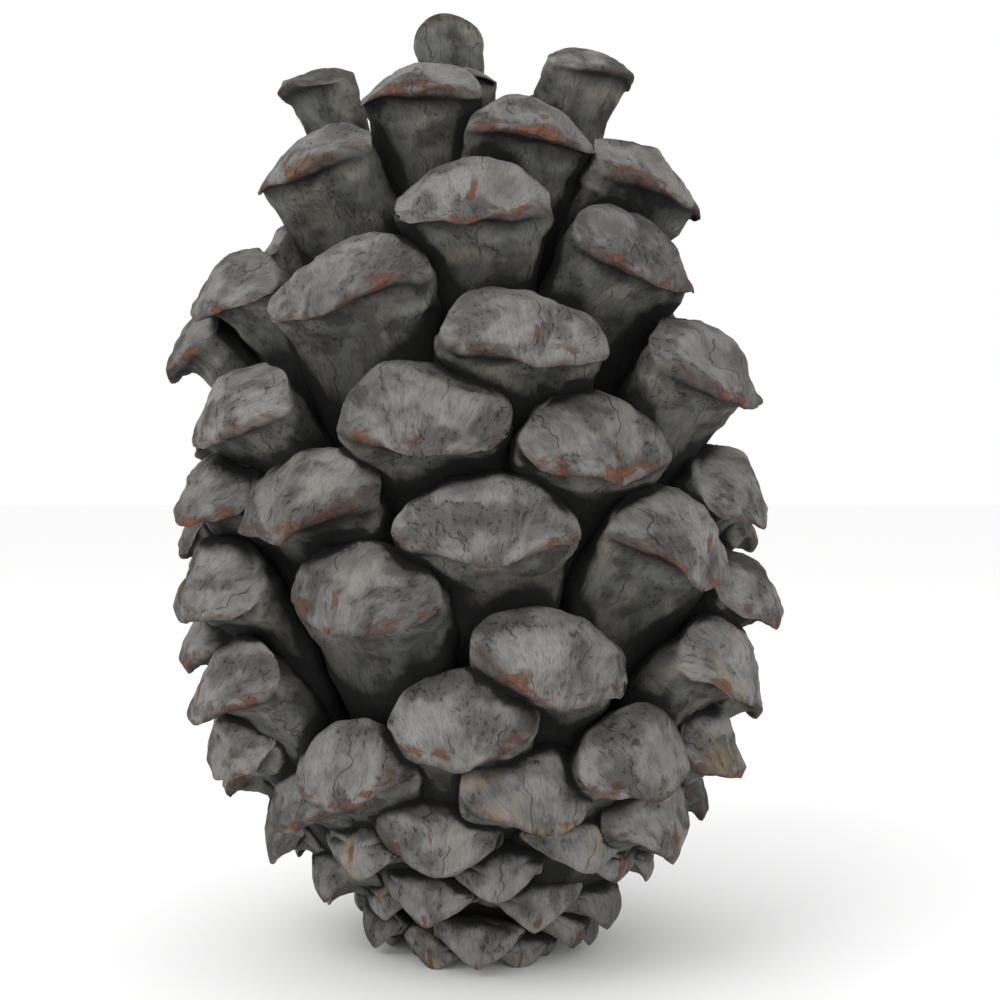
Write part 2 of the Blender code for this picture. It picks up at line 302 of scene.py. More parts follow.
def makePatternScale():
    around = scaleForm["around"]
    angles = [2 * math.pi * k / around for k in range(around)]
    formNames = ("back", "fanChange", "keel")
    maskNames = ("faceMask", "lipMask", "rimMask", "seamMask", "upperMask", "depth")
    bm = bmesh.new()
    layers = {name: bm.verts.layers.float.new(name) for name in formNames + maskNames}

    def add(point, masks):
        across, share, level, *form = point
        vert = bm.verts.new((across, share, level))
        for name, value in zip(formNames, form):
            vert[layers[name]] = value
        for name, value in masks.items():
            vert[layers[name]] = value
        return vert

    rings = []
    for station in reversed(scaleForm["rings"]):
        near = 1 - smoothStep(*maskEnds["lip"], station)
        ring = []
        for angle in angles:
            up = math.sin(angle)
            below, above = max(0.0, -up), max(0.0, up)
            ring.append(add(sectionPoint(station, angle), {
                "faceMask": 1 - smoothStep(*maskEnds["face"], station),
                "lipMask": near * below ** maskPowers["edge"],
                "rimMask": near * above ** maskPowers["edge"],
                "seamMask": (1 - smoothStep(*maskEnds["seam"], station)) * below ** maskPowers["seam"],
                "upperMask": smoothStep(*maskEnds["innerSide"], up) * smoothStep(*maskEnds["inner"], station),
                # depth: share of the way to the root, which drives the painted shade towards it
                "depth": station / 2,
            }))
        rings.append(ring)
    for inward in scaleForm["faceRings"]:
        near = smoothStep(*maskEnds["faceLip"], inward)
        ring = []
        for angle in angles:
            up = math.sin(angle)
            below, above = max(0.0, -up), max(0.0, up)
            ring.append(add(facePoint(inward, angle), {
                "faceMask": 1.0,
                "lipMask": near * below ** maskPowers["edge"],
                "rimMask": near * above ** maskPowers["edge"],
                "seamMask": smoothStep(*maskEnds["faceSeam"], inward) * below ** maskPowers["faceSeam"],
            }))
        rings.append(ring)
    middle = add(facePoint(0.0, 0.0), {"faceMask": 1.0})
    root = add((0.0, 0.0, 0.0, 0.0, 0.0, 0.0), {"depth": 1.0})
    for first, second in zip(rings, rings[1:]):
        for k in range(around):
            bm.faces.new((first[k], second[k], second[k - 1], first[k - 1]))
    for k in range(around):
        bm.faces.new((rings[-1][k], middle, rings[-1][k - 1]))
        bm.faces.new((rings[0][k - 1], root, rings[0][k]))
    mesh = bpy.data.meshes.new("patternScale")
    bm.to_mesh(mesh)
    bm.free()
    pattern = bpy.data.objects.new("patternScale", mesh)
    bpy.context.scene.collection.objects.link(pattern)
    return pattern


class Wire:
    # a number on its way through a node tree
    def __init__(self, tree, socket):
        self.tree, self.socket = tree, socket

    def join(self, operation, *others):
        node = self.tree.nodes.new("ShaderNodeMath")
        node.operation = operation
        for slot, value in zip(node.inputs, (self, *others)):
            plug(self.tree, value, slot)
        return Wire(self.tree, node.outputs[0])

    def __add__(self, other):
        return self.join("ADD", other)

    def __sub__(self, other):
        return self.join("SUBTRACT", other)

    def __mul__(self, other):
        return self.join("MULTIPLY", other)

    def __truediv__(self, other):
        return self.join("DIVIDE", other)

    def rest(self):
        # what is missing to 1
        return self * -1.0 + 1.0


def plug(tree, value, slot):
    if isinstance(value, Wire):
        tree.links.new(value.socket, slot)
    elif isinstance(value, bpy.types.NodeSocket):
        tree.links.new(value, slot)
    else:
        slot.default_value = value


def addNode(tree, kind, inputs=None, **settings):
    node = tree.nodes.new(kind)
    for name, value in settings.items():
        setattr(node, name, value)
    for name, value in (inputs or {}).items():
        plug(tree, value, node.inputs[name])
    return node


def vectorMath(tree, operation, inputs):
    return addNode(tree, "ShaderNodeVectorMath", inputs, operation=operation).outputs[0]


def remap(value, fromLow, fromHigh, toLow=0.0, toHigh=1.0):
    node = addNode(value.tree, "ShaderNodeMapRange", {
        "Value": value, "From Min": fromLow, "From Max": fromHigh, "To Min": toLow, "To Max": toHigh,
    }, interpolation_type="SMOOTHSTEP")
    return Wire(value.tree, node.outputs["Result"])


# the named inputs of the tree that grows the scales
growth = {
    "Lump Size": 0.17,          # lumps per mm
    "Lump Height": 0.0022,      # metres, from crest to hollow on the widest scales
    "Dent Size": 0.52,
    "Dent Height": 0.00075,
    "Skew": 0.20,               # how far a face may lean to one side
}
lumpPower = 1.5                 # higher leaves small scales smoother


def buildGrowthTree():
    tree = bpy.data.node_groups.new("growScales", "GeometryNodeTree")
    for name, kind in (("Geometry", "Geometry"), ("Pattern", "Object"), ("Material", "Material")):
        tree.interface.new_socket(name=name, in_out="INPUT", socket_type="NodeSocket" + kind)
    for name in (*growth, "Root Radius"):
        tree.interface.new_socket(name=name, in_out="INPUT", socket_type="NodeSocketFloat")
    tree.interface.new_socket(name="Geometry", in_out="OUTPUT", socket_type="NodeSocketGeometry")
    given = tree.nodes.new("NodeGroupInput").outputs

    def number(name):
        node = addNode(tree, "GeometryNodeInputNamedAttribute", {"Name": name}, data_type="FLOAT")
        return Wire(tree, node.outputs["Attribute"])

    def positionParts():
        position = tree.nodes.new("GeometryNodeInputPosition").outputs[0]
        split = addNode(tree, "ShaderNodeSeparateXYZ", {"Vector": position})
        return [Wire(tree, split.outputs[k]) for k in range(3)]

    def vector(x, y, z):
        return addNode(tree, "ShaderNodeCombineXYZ", {"X": x, "Y": y, "Z": z}).outputs[0]

    def moveTo(geometry, position):
        node = addNode(tree, "GeometryNodeSetPosition", {"Geometry": geometry, "Position": position})
        return node.outputs["Geometry"]

    def sine(angle):
        return angle.join("SINE")

    def cosine(angle):
        return angle.join("COSINE")

    pattern = addNode(tree, "GeometryNodeObjectInfo", {"Object": given["Pattern"]})
    placed = addNode(tree, "GeometryNodeInstanceOnPoints", {
        "Points": given["Geometry"], "Instance": pattern.outputs["Geometry"],
    })
    real = addNode(tree, "GeometryNodeRealizeInstances", {"Geometry": placed.outputs["Instances"]})
    geometry = real.outputs["Geometry"]

    # size: from shares to metres, still straight and level
    x, share, level = positionParts()
    halfWidth, faceHeight = number("halfWidth"), number("faceHeight")
    inner, knuckle = number("inner"), number("knuckle")
    length = inner + knuckle
    fanLevel = number("fanChange") * number("fan")
    lean = x * number("skew") * Wire(tree, given["Skew"]) * number("faceMask")
    back = number("back") - number("keel") * number("fan").rest()
    geometry = moveTo(geometry, vector(
        x * halfWidth,
        share * length - back * halfWidth,
        (level + fanLevel + lean) * faceHeight,
    ))

    # the wood's own coordinates in mm, different on each scale, for lumps and for the material
    x, y, z = positionParts()
    patternShift = number("patternShift")
    grain = vector(x / mm + patternShift, y / mm, z / mm + patternShift * coneGrowth["patternRise"])
    for name, value in (("grain", grain), ("fromMiddle", vector(x / mm, y / mm, z / mm))):
        stored = addNode(tree, "GeometryNodeStoreNamedAttribute", {
            "Geometry": geometry, "Name": name, "Value": value,
        }, data_type="FLOAT_VECTOR", domain="POINT")
        geometry = stored.outputs["Geometry"]

    # lumps and dents, smaller on small scales
    widest = max(alongSpiral["halfWidth"])
    for size, height in (("Lump Size", "Lump Height"), ("Dent Size", "Dent Height")):
        noise = addNode(tree, "ShaderNodeTexNoise", {
            "Vector": grain, "Scale": given[size], "Detail": 2.0, "Roughness": 0.5,
        })
        centred = vectorMath(tree, "SUBTRACT", {0: noise.outputs["Color"], 1: (0.5, 0.5, 0.5)})
        share = (halfWidth / (widest * mm)).join("POWER", lumpPower) * Wire(tree, given[height])
        scaled = vectorMath(tree, "SCALE", {"Vector": centred, "Scale": share})
        moved = addNode(tree, "GeometryNodeSetPosition", {"Geometry": geometry, "Offset": scaled})
        geometry = moved.outputs["Geometry"]

    # twist along the length, bend upwards and then outwards, and set on the core
    x, y, z = positionParts()
    twist = number("roll") * y / length
    twistedX = x * cosine(twist) - z * sine(twist)
    twistedZ = x * sine(twist) + z * cosine(twist)
    rootRise, steepRise = number("rootRise"), number("steepRise")
    innerCurve = (steepRise - rootRise) / inner
    outerCurve = (number("tipRise") - steepRise) / knuckle
    innerSlope = rootRise + innerCurve * y.join("MINIMUM", inner)
    outerSlope = steepRise + outerCurve * (y - inner).join("MAXIMUM", 0.0)
    slope = innerSlope + outerSlope - steepRise
    out = (sine(innerSlope) - sine(rootRise)) / innerCurve + (sine(outerSlope) - sine(steepRise)) / outerCurve
    up = (cosine(rootRise) - cosine(innerSlope)) / innerCurve
    up = up + (cosine(steepRise) - cosine(outerSlope)) / outerCurve
    out = out - twistedZ * sine(slope) + Wire(tree, given["Root Radius"])
    up = up + twistedZ * cosine(slope) + number("root")
    azimuth = number("azimuth")
    geometry = moveTo(geometry, vector(
        out * sine(azimuth) + twistedX * cosine(azimuth) + number("shift"),
        twistedX * sine(azimuth) - out * cosine(azimuth),
        up.join("MAXIMUM", 0.0),                        # worn flat where it stands
    ))

    smooth = addNode(tree, "GeometryNodeSetShadeSmooth", {"Geometry": geometry})
    finished = addNode(tree, "GeometryNodeSetMaterial", {
        "Geometry": smooth.outputs["Geometry"], "Material": given["Material"],
    })
    addNode(tree, "NodeGroupOutput", {"Geometry": finished.outputs["Geometry"]})
    return tree


def applyTree(thing, tree, values):
    # the mesh that a tree makes of an object, with the tree's named inputs set
    modifier = thing.modifiers.new(tree.name, "NODES")
    modifier.node_group = tree
    for item in tree.interface.items_tree:
        if item.in_out == "INPUT" and item.name in values:
            modifier[item.identifier] = values[item.name]
    mesh = bpy.data.meshes.new_from_object(thing.evaluated_get(bpy.context.evaluated_depsgraph_get()))
    thing.modifiers.remove(modifier)
    return mesh


def growScales(name, places, tree, pattern, material):
    # one point for each scale carries its numbers into the tree
    points = bpy.data.meshes.new(name + "Points")
    points.from_pydata([(0.0, 0.0, 0.0)] * len(places), [], [])
    for key in places[0]:
        numbers = points.attributes.new(key, "FLOAT", "POINT")
        numbers.data.foreach_set("value", [place[key] for place in places])
    seedling = bpy.data.objects.new(name + "Seedling", points)
    bpy.context.scene.collection.objects.link(seedling)
    rootRadius = coneGrowth["rootRadius"] * mm
    mesh = applyTree(seedling, tree, {
        **growth, "Pattern": pattern, "Material": material, "Root Radius": rootRadius,
    })
    bpy.data.objects.remove(seedling)
    mesh.name = name
    outwards = bmesh.new()
    outwards.from_mesh(mesh)
    bmesh.ops.recalc_face_normals(outwards, faces=outwards.faces)
    outwards.to_mesh(mesh)
    outwards.free()
    for key in (*places[0], "back", "fanChange", "keel"):   # only the material's attributes stay
        if key not in ("tone", "fan", "bare") and key in mesh.attributes:
            mesh.attributes.remove(mesh.attributes[key])
    if material.name not in [slot.name for slot in mesh.materials if slot]:
        mesh.materials.clear()
        mesh.materials.append(material)
    piece = bpy.data.objects.new(name, mesh)
    bpy.context.scene.collection.objects.link(piece)
    print(name, len(places), "scales", len(mesh.polygons), "faces")
    return piece


# painted crevice shade: darker where the other scales stand close round a point
shadeRays = {
    "Reach": 0.0055,            # metres, how near another scale must be
    "Start": 0.00015,
    "rays": 14,
    "spread": 0.97,             # below 1 no ray runs along the surface
    "full": 0.5,                # share of the rays that makes full painted shade
}


def buildShadeTree():
    # rays leave each point of a piece; the share that soon meets the cone again is kept as "crevice", how much
    # painted shade the point gets
    tree = bpy.data.node_groups.new("gatherDirt", "GeometryNodeTree")
    for name, kind in (("Geometry", "Geometry"), ("Cone", "Object"), ("Reach", "Float"), ("Start", "Float")):
        tree.interface.new_socket(name=name, in_out="INPUT", socket_type="NodeSocket" + kind)
    tree.interface.new_socket(name="Geometry", in_out="OUTPUT", socket_type="NodeSocketGeometry")
    given = tree.nodes.new("NodeGroupInput").outputs
    cone = addNode(tree, "GeometryNodeObjectInfo", {"Object": given["Cone"]})
    normal = tree.nodes.new("GeometryNodeInputNormal").outputs[0]
    place = tree.nodes.new("GeometryNodeInputPosition").outputs[0]
    above = vectorMath(tree, "SCALE", {"Vector": normal, "Scale": given["Start"]})
    start = vectorMath(tree, "ADD", {0: place, 1: above})
    total = None
    for k in range(shadeRays["rays"]):
        height = 1 - (2 * k + 1) / shadeRays["rays"]         # evenly over a sphere, added to the normal
        turn = k * math.pi * (3 - math.sqrt(5))
        flat = math.sqrt(1 - height * height)
        aside = [shadeRays["spread"] * part for part in (flat * math.cos(turn), flat * math.sin(turn), height)]
        ray = addNode(tree, "GeometryNodeRaycast", {
            "Target Geometry": cone.outputs["Geometry"], "Source Position": start,
            "Ray Direction": vectorMath(tree, "ADD", {0: normal, 1: aside}), "Ray Length": given["Reach"],
        })
        near = Wire(tree, ray.outputs["Hit Distance"]) / Wire(tree, given["Reach"])
        met = near.rest() * Wire(tree, ray.outputs["Is Hit"])
        total = met if total is None else total + met
    stored = addNode(tree, "GeometryNodeStoreNamedAttribute", {
        "Geometry": given["Geometry"], "Name": "crevice", "Value": total / (shadeRays["rays"] * shadeRays["full"]),
    }, data_type="FLOAT", domain="POINT")
    addNode(tree, "NodeGroupOutput", {"Geometry": stored.outputs["Geometry"]})
    return tree


def gatherDirt(pieces):
    tree = buildShadeTree()
    whole = bmesh.new()
    for piece in pieces:
        whole.from_mesh(piece.data)
    coneMesh = bpy.data.meshes.new("wholeCone")
    whole.to_mesh(coneMesh)
    whole.free()
    cone = bpy.data.objects.new("wholeCone", coneMesh)
    bpy.context.scene.collection.objects.link(cone)
    for piece in pieces:
        mesh = applyTree(piece, tree, {**shadeRays, "Cone": cone})
        mesh.name = piece.name
        piece.data = mesh
    bpy.data.objects.remove(cone)
    bpy.data.meshes.remove(coneMesh)


def mixColours(tree, share, first, second):
    node = addNode(tree, "ShaderNodeMix", data_type="RGBA")
    for key, value in ((0, share), (6, first), (7, second)):
        plug(tree, value, node.inputs[key])
    return node.outputs[2]


def noiseWire(tree, vector, detail, roughness):
    node = addNode(tree, "ShaderNodeTexNoise", {
        "Vector": vector, "Scale": 1.0, "Detail": detail, "Roughness": roughness,
    })
    return Wire(tree, node.outputs["Fac"])


def stretched(tree, vector, scale):
    return addNode(tree, "ShaderNodeMapping", {"Vector": vector, "Scale": scale}).outputs["Vector"]


def attributeOf(tree, name):
    return addNode(tree, "ShaderNodeAttribute", attribute_name=name)


def addRelief(tree, shader, height, wear):
    shader.inputs["Specular IOR Level"].default_value = wear["specular"]
    bump = addNode(tree, "ShaderNodeBump", {
        "Height": height, "Strength": wear["bump"], "Distance": wear["bumpDepth"] * mm,
    })
    plug(tree, bump.outputs["Normal"], shader.inputs["Normal"])


def newMaterial(name):
    material = bpy.data.materials.new(name)
    material.use_nodes = True
    return material, material.node_tree, material.node_tree.nodes["Principled BSDF"]


# the weathering of both woods: sizes are in noises per mm across, along and up, ranges are of a noise
weathering = {
    "blotchSize": 0.3,
    "blotchRange": (0.43, 0.62),
    "warmthRange": (0.47, 0.62),
    "streakStretch": 0.16,
    "speckSize": (2.6, 1.7, 1.5),
    "speckRange": (0.56, 0.63),
    "speckedFrom": (0.45, 0.56),
    "crackPerMm": 0.23,
    "crackWander": 1.3,
    "wanderSize": (0.05, 0.22, 0.25),
    "crackWidth": 0.014,        # share of the space between two
    "crackedBelow": (0.55, 0.47),       # only where the patches are low
    "fineSize": (6.5, 1.4, 1.4),
    "heights": (0.5, 0.3, 0.8, 0.2),    # of streaks, fine grain, cracks and specks
}


def buildWeatherGroup():
    # grey wood weathered in blotches, streaks, specks and cracks: masks for colour, and a height
    group = bpy.data.node_groups.new("weatheredGrain", "ShaderNodeTree")
    group.interface.new_socket(name="Grain", in_out="INPUT", socket_type="NodeSocketVector")
    for name, value in (("Streak Spacing", 0.42), ("Speck Share", 1.0)):
        socket = group.interface.new_socket(name=name, in_out="INPUT", socket_type="NodeSocketFloat")
        socket.default_value = value
    for name in ("Blotches", "Warmth", "Patches", "Streaks", "Fine", "Specks", "Cracks", "Height"):
        group.interface.new_socket(name=name, in_out="OUTPUT", socket_type="NodeSocketFloat")
    given = group.nodes.new("NodeGroupInput").outputs
    grain, wear = given["Grain"], weathering
    broad = addNode(group, "ShaderNodeTexNoise", {
        "Vector": grain, "Scale": wear["blotchSize"], "Detail": 2.5, "Roughness": 0.6,
    })
    parts = addNode(group, "ShaderNodeSeparateColor", {"Color": broad.outputs["Color"]})
    first, second, patches = (Wire(group, socket) for socket in parts.outputs)
    blotches = remap(first, *wear["blotchRange"])
    warmth = remap(second, *wear["warmthRange"])

    stretch = wear["streakStretch"]
    across = vectorMath(group, "MULTIPLY", {0: grain, 1: (1, stretch, stretch)})
    perMm = Wire(group, given["Streak Spacing"]).join("POWER", -1.0)
    across = vectorMath(group, "SCALE", {"Vector": across, "Scale": perMm})
    streaks = noiseWire(group, across, detail=2.0, roughness=0.6)
    fine = noiseWire(group, stretched(group, grain, wear["fineSize"]), detail=1.5, roughness=0.7)

    specks = noiseWire(group, stretched(group, grain, wear["speckSize"]), detail=2.5, roughness=0.8)
    specks = remap(specks, *wear["speckRange"]) * remap(first, *wear["speckedFrom"])
    specks = specks * Wire(group, given["Speck Share"])

    # cracks are evenly spaced lines along the grain that wander
    sideways = Wire(group, addNode(group, "ShaderNodeSeparateXYZ", {"Vector": grain}).outputs["X"])
    wander = noiseWire(group, stretched(group, grain, wear["wanderSize"]), detail=3.0, roughness=0.6)
    line = (sideways * wear["crackPerMm"] + wander * wear["crackWander"]).join("FRACT") - 0.5
    cracks = remap(line.join("ABSOLUTE"), 0.0, wear["crackWidth"], 1.0, 0.0)
    cracks = cracks * remap(patches, *wear["crackedBelow"])

    ofStreaks, ofFine, ofCracks, ofSpecks = wear["heights"]
    height = streaks * ofStreaks + fine * ofFine - cracks * ofCracks - specks * ofSpecks
    out = addNode(group, "NodeGroupOutput")
    for name, value in (("Blotches", blotches), ("Warmth", warmth), ("Patches", patches), ("Streaks", streaks),
                        ("Fine", fine), ("Specks", specks), ("Cracks", cracks), ("Height", height)):
        plug(group, value, out.inputs[name])
    return group


scaleLooks = {                  # linear colours
    "faceLight": (0.190, 0.187, 0.178, 1),
    "faceMid": (0.070, 0.068, 0.065, 1),
    "faceDark": (0.025, 0.023, 0.021, 1),
    "beige": (0.205, 0.182, 0.146, 1),
    "underside": (0.118, 0.117, 0.103, 1),
    "underDark": (0.028, 0.028, 0.025, 1),
    # darker wood of the inner side, also used as painted contact shadow just behind the rim
    "innerSideAndShadow": (0.040, 0.038, 0.035, 1),
    "stain": (0.020, 0.018, 0.017, 1),
    "rust": (0.140, 0.050, 0.018, 1),
    "rustDark": (0.044, 0.019, 0.012, 1),
    "ochre": (0.205, 0.145, 0.060, 1),
    # near-black of the painted shade in crevices, under the lip and towards the root
    "crevice": (0.006, 0.0056, 0.0052, 1),
}

scaleWear = {                   # shares of each effect, and the ranges that they rise over
    "fanOfStreaks": 9.0,        # mm from a face's middle down to where its streaks would meet
    "pale": {"streaks": 0.3, "fine": 0.55, "patches": 0.7, "tone": 0.2},
    "paleRange": (0.66, 1.04),
    "faceWarmth": 0.22,
    "faceBlotches": 0.60,
    "bladeWarmth": 0.5,
    "bladeBlotches": 0.45,
    "bladeStains": 0.55,
    "bladeStainRange": (0.46, 0.64),
    "bladeStreaks": 0.15,
    "bladeStreakRange": (0.48, 0.66),
    "mostStained": 0.85,
    "innerSide": 0.9,
    "fineStains": 0.42,
    "fineStainRange": (0.50, 0.68),
    "specks": 0.78,
    "cracks": 0.6,
    "rustSize": (0.26, 0.4, 0.7),       # per mm across, along and up
    "rustRange": (0.48, 0.65),
    "rustOnFans": 0.2,
    "rustOnBareRims": 0.7,
    "rustOnRims": 0.18,
    "rustyRimRange": (0.5, 0.9),
    "rustFine": 1.2,            # how far the fine grain and the streaks break it up
    "rustStreaks": 0.5,
    "mark": 0.8,                # the upright mark over the umbo
    "markWander": 1.6,
    "markWidth": (0.10, 0.38),  # mm to each side, full and faded
    "markLevel": -1.0,
    "markHeight": (0.6, 1.8),
    "markedPatches": (0.48, 0.56),
    "brownStreaks": 0.8,
    "brownRange": (0.3, 0.9),
    "brownShare": (0.25, 0.8),
    "brownOnFans": 0.4,
    "brightRustRange": (0.30, 1.1),
    "rustEdge": (0.0, 0.75),
    "mostRust": 0.9,
    "ochreTones": (0.88, 0.92), # only scales of these tones have it
    "ochreRange": (0.4, 1.0),
    "ochreStreaks": (0.36, 0.60),
    "ochre": 0.5,
    "underLipShade": (0.4, 0.8),     # painted shade under the lip, from its two masks
    "shadeOnFans": 0.1,
    "creviceShadeRange": (0.22, 0.76),
    "rootShadeRange": (0.38, 0.80),
    "roughRange": (0.2, 0.8),
    "roughness": (0.74, 0.92),
    "specular": 0.25,
    "bump": 0.8,
    "bumpDepth": 0.2,           # mm
}


def makeScaleWood(weather):
    material, tree, shader = newMaterial("scaleWood")
    look, wear = scaleLooks, scaleWear
    face, lip, rim, seam, upper, depth, tone, fan, bare, crevice = (
        Wire(tree, attributeOf(tree, name).outputs["Fac"])
        for name in ("faceMask", "lipMask", "rimMask", "seamMask", "upperMask", "depth", "tone", "fan", "bare",
                     "crevice")
    )

    def onFans(share):
        # 1 on a keeled scale, less on a fan-shaped one
        return fan * (share - 1.0) + 1.0

    # the streaks on a face fan out from below its umbo
    fromMiddle = attributeOf(tree, "fromMiddle").outputs["Vector"]
    local = addNode(tree, "ShaderNodeSeparateXYZ", {"Vector": fromMiddle})
    across, level = Wire(tree, local.outputs["X"]), Wire(tree, local.outputs["Z"])
    fanned = across * wear["fanOfStreaks"] / (level + wear["fanOfStreaks"]) - across
    shift = addNode(tree, "ShaderNodeCombineXYZ", {"X": fanned * face}).outputs[0]
    grain = vectorMath(tree, "ADD", {0: attributeOf(tree, "grain").outputs["Vector"], 1: shift})
    worn = addNode(tree, "ShaderNodeGroup", node_tree=weather)
    plug(tree, grain, worn.inputs["Grain"])
    blotches, warmth, patches, streaks, fine, specks, cracks, height = (
        Wire(tree, worn.outputs[name])
        for name in ("Blotches", "Warmth", "Patches", "Streaks", "Fine", "Specks", "Cracks", "Height")
    )

    # the face: grey, lighter and darker in patches, streaked from keel to top edge
    pale = wear["pale"]
    paler = streaks * pale["streaks"] + fine * pale["fine"] + patches * pale["patches"] + tone * pale["tone"]
    faceColour = mixColours(tree, remap(paler, *wear["paleRange"]), look["faceMid"], look["faceLight"])
    faceColour = mixColours(tree, warmth * wear["faceWarmth"], faceColour, look["beige"])
    faceColour = mixColours(tree, blotches * wear["faceBlotches"], faceColour, look["faceDark"])

    # the underside of the blade, greener and smoother, with soft stains and beige patches
    bladeColour = mixColours(tree, warmth * wear["bladeWarmth"], look["underside"], look["beige"])
    stained = blotches * wear["bladeBlotches"] + remap(patches, *wear["bladeStainRange"]) * wear["bladeStains"]
    stained = stained + remap(streaks, *wear["bladeStreakRange"]) * wear["bladeStreaks"]
    stained = stained.join("MINIMUM", wear["mostStained"])
    bladeColour = mixColours(tree, stained, bladeColour, look["underDark"])
    # the inner side is darker wood, except on the bare top scales; from just behind the rim it also paints the
    # next scale's contact shadow
    bladeColour = mixColours(tree, upper * bare.rest() * wear["innerSide"], bladeColour, look["innerSideAndShadow"])

    colour = mixColours(tree, face, bladeColour, faceColour)
    fineStains = remap(fine, *wear["fineStainRange"]) * wear["fineStains"]
    colour = mixColours(tree, fineStains, colour, look["stain"])
    colour = mixColours(tree, specks * wear["specks"], colour, look["stain"])

    # rust in patches along the lip, and in an upright mark over the umbo
    along = vectorMath(tree, "MULTIPLY", {0: grain, 1: wear["rustSize"]})
    rustPatches = remap(noiseWire(tree, along, detail=4.0, roughness=0.65), *wear["rustRange"])
    markAcross = (across + (streaks - 0.5) * wear["markWander"]).join("ABSOLUTE")
    markUp = (level - wear["markLevel"]).join("ABSOLUTE")
    mark = remap(markAcross, *wear["markWidth"], 1.0, 0.0) * remap(markUp, *wear["markHeight"], 1.0, 0.0)
    mark = mark * face * remap(patches, *wear["markedPatches"])
    rust = lip * rustPatches * onFans(wear["rustOnFans"]) + rim * bare * rustPatches * wear["rustOnBareRims"]
    rust = rust + rim * remap(warmth, *wear["rustyRimRange"]) * wear["rustOnRims"]
    rust = (rust + mark * wear["mark"]).join("MINIMUM", 1.0)
    brown = remap(warmth + streaks * wear["brownStreaks"], *wear["brownRange"], *wear["brownShare"])
    brown = seam * face * onFans(wear["brownOnFans"]) * brown
    colour = mixColours(tree, brown, colour, look["rustDark"])
    bright = remap(rust + (fine - 0.5) * wear["rustFine"], *wear["brightRustRange"])
    rustColour = mixColours(tree, bright, look["rustDark"], look["rust"])
    rustShare = remap(rust + (streaks - 0.5) * wear["rustStreaks"], *wear["rustEdge"]) * wear["mostRust"]
    colour = mixColours(tree, rustShare, colour, rustColour)

    # a few scales carry an ochre patch
    ochre = remap(tone, *wear["ochreTones"]) * remap(warmth, *wear["ochreRange"]) * face
    ochre = ochre * remap(streaks, *wear["ochreStreaks"]) * wear["ochre"]
    colour = mixColours(tree, ochre, colour, look["ochre"])
    colour = mixColours(tree, cracks * wear["cracks"], colour, look["stain"])

    # painted shade where the scales stand close, under the lip, and towards the root
    ofLip, ofSeam = wear["underLipShade"]
    underLipShade = (lip * ofLip + seam * ofSeam) * face.rest() * onFans(wear["shadeOnFans"])
    paintedShade = remap(crevice, *wear["creviceShadeRange"]) + remap(depth, *wear["rootShadeRange"]) + underLipShade
    colour = mixColours(tree, paintedShade.join("MINIMUM", 1.0), colour, look["crevice"])
    plug(tree, colour, shader.inputs["Base Color"])

    uneven = blotches * 0.5 + streaks * 0.5
    plug(tree, remap(uneven, *wear["roughRange"], *wear["roughness"]), shader.inputs["Roughness"])
    addRelief(tree, shader, height, wear)
    return material


coreWear = {
    "streakSpacing": 0.6,       # mm
    "speckShare": 0.5,
    "blotches": 0.6,
    "roughness": 0.92,
    "specular": 0.2,
    "bump": 0.9,
    "bumpDepth": 0.4,           # mm
}


def makeCoreWood(weather):
    material, tree, shader = newMaterial("coreWood")
    place = addNode(tree, "ShaderNodeTexCoord").outputs["Object"]
    inMm = stretched(tree, place, (1 / mm, 1 / mm, 1 / mm))
    worn = addNode(tree, "ShaderNodeGroup", node_tree=weather)
    plug(tree, inMm, worn.inputs["Grain"])
    plug(tree, coreWear["streakSpacing"], worn.inputs["Streak Spacing"])
    plug(tree, coreWear["speckShare"], worn.inputs["Speck Share"])
    blotches, streaks, cracks = (Wire(tree, worn.outputs[name]) for name in ("Blotches", "Streaks", "Cracks"))
    # the core's own dark wood is mixed from the scales' near-black shade colour and their inner-side colour
    colour = mixColours(tree, streaks, scaleLooks["crevice"], scaleLooks["innerSideAndShadow"])
    colour = mixColours(tree, blotches * coreWear["blotches"], colour, scaleLooks["rustDark"])
    colour = mixColours(tree, cracks, colour, scaleLooks["crevice"])
    plug(tree, colour, shader.inputs["Base Color"])
    shader.inputs["Roughness"].default_value = coreWear["roughness"]
    addRelief(tree, shader, worn.outputs["Height"], coreWear)
    return material


# the core that the scales grow from, with the stub of stalk
core = {
    "profile": (                # height and radius, mm
        (0.0, 2.9), (1.5, 3.6), (4.0, 7.4), (8.0, 10.8), (14.0, 12.0), (22.0, 9.0), (34.0, 6.0), (50.0, 4.8),
        (61.0, 2.8), (67.0, 1.2),
    ),
    "around": 64,
    "levels": 70,
    "inset": 0.25,              # mm below the solid's surface
    "ridges": 0.3,              # mm
    "ridgeCounts": (11, 7, 18),
    "ridgeTwist": 0.12,         # radians per mm of height
    "ridgesFrom": (0, 3),       # mm of height
    "leanFrom": (0, 20),
    "sharpDeg": 50,
}


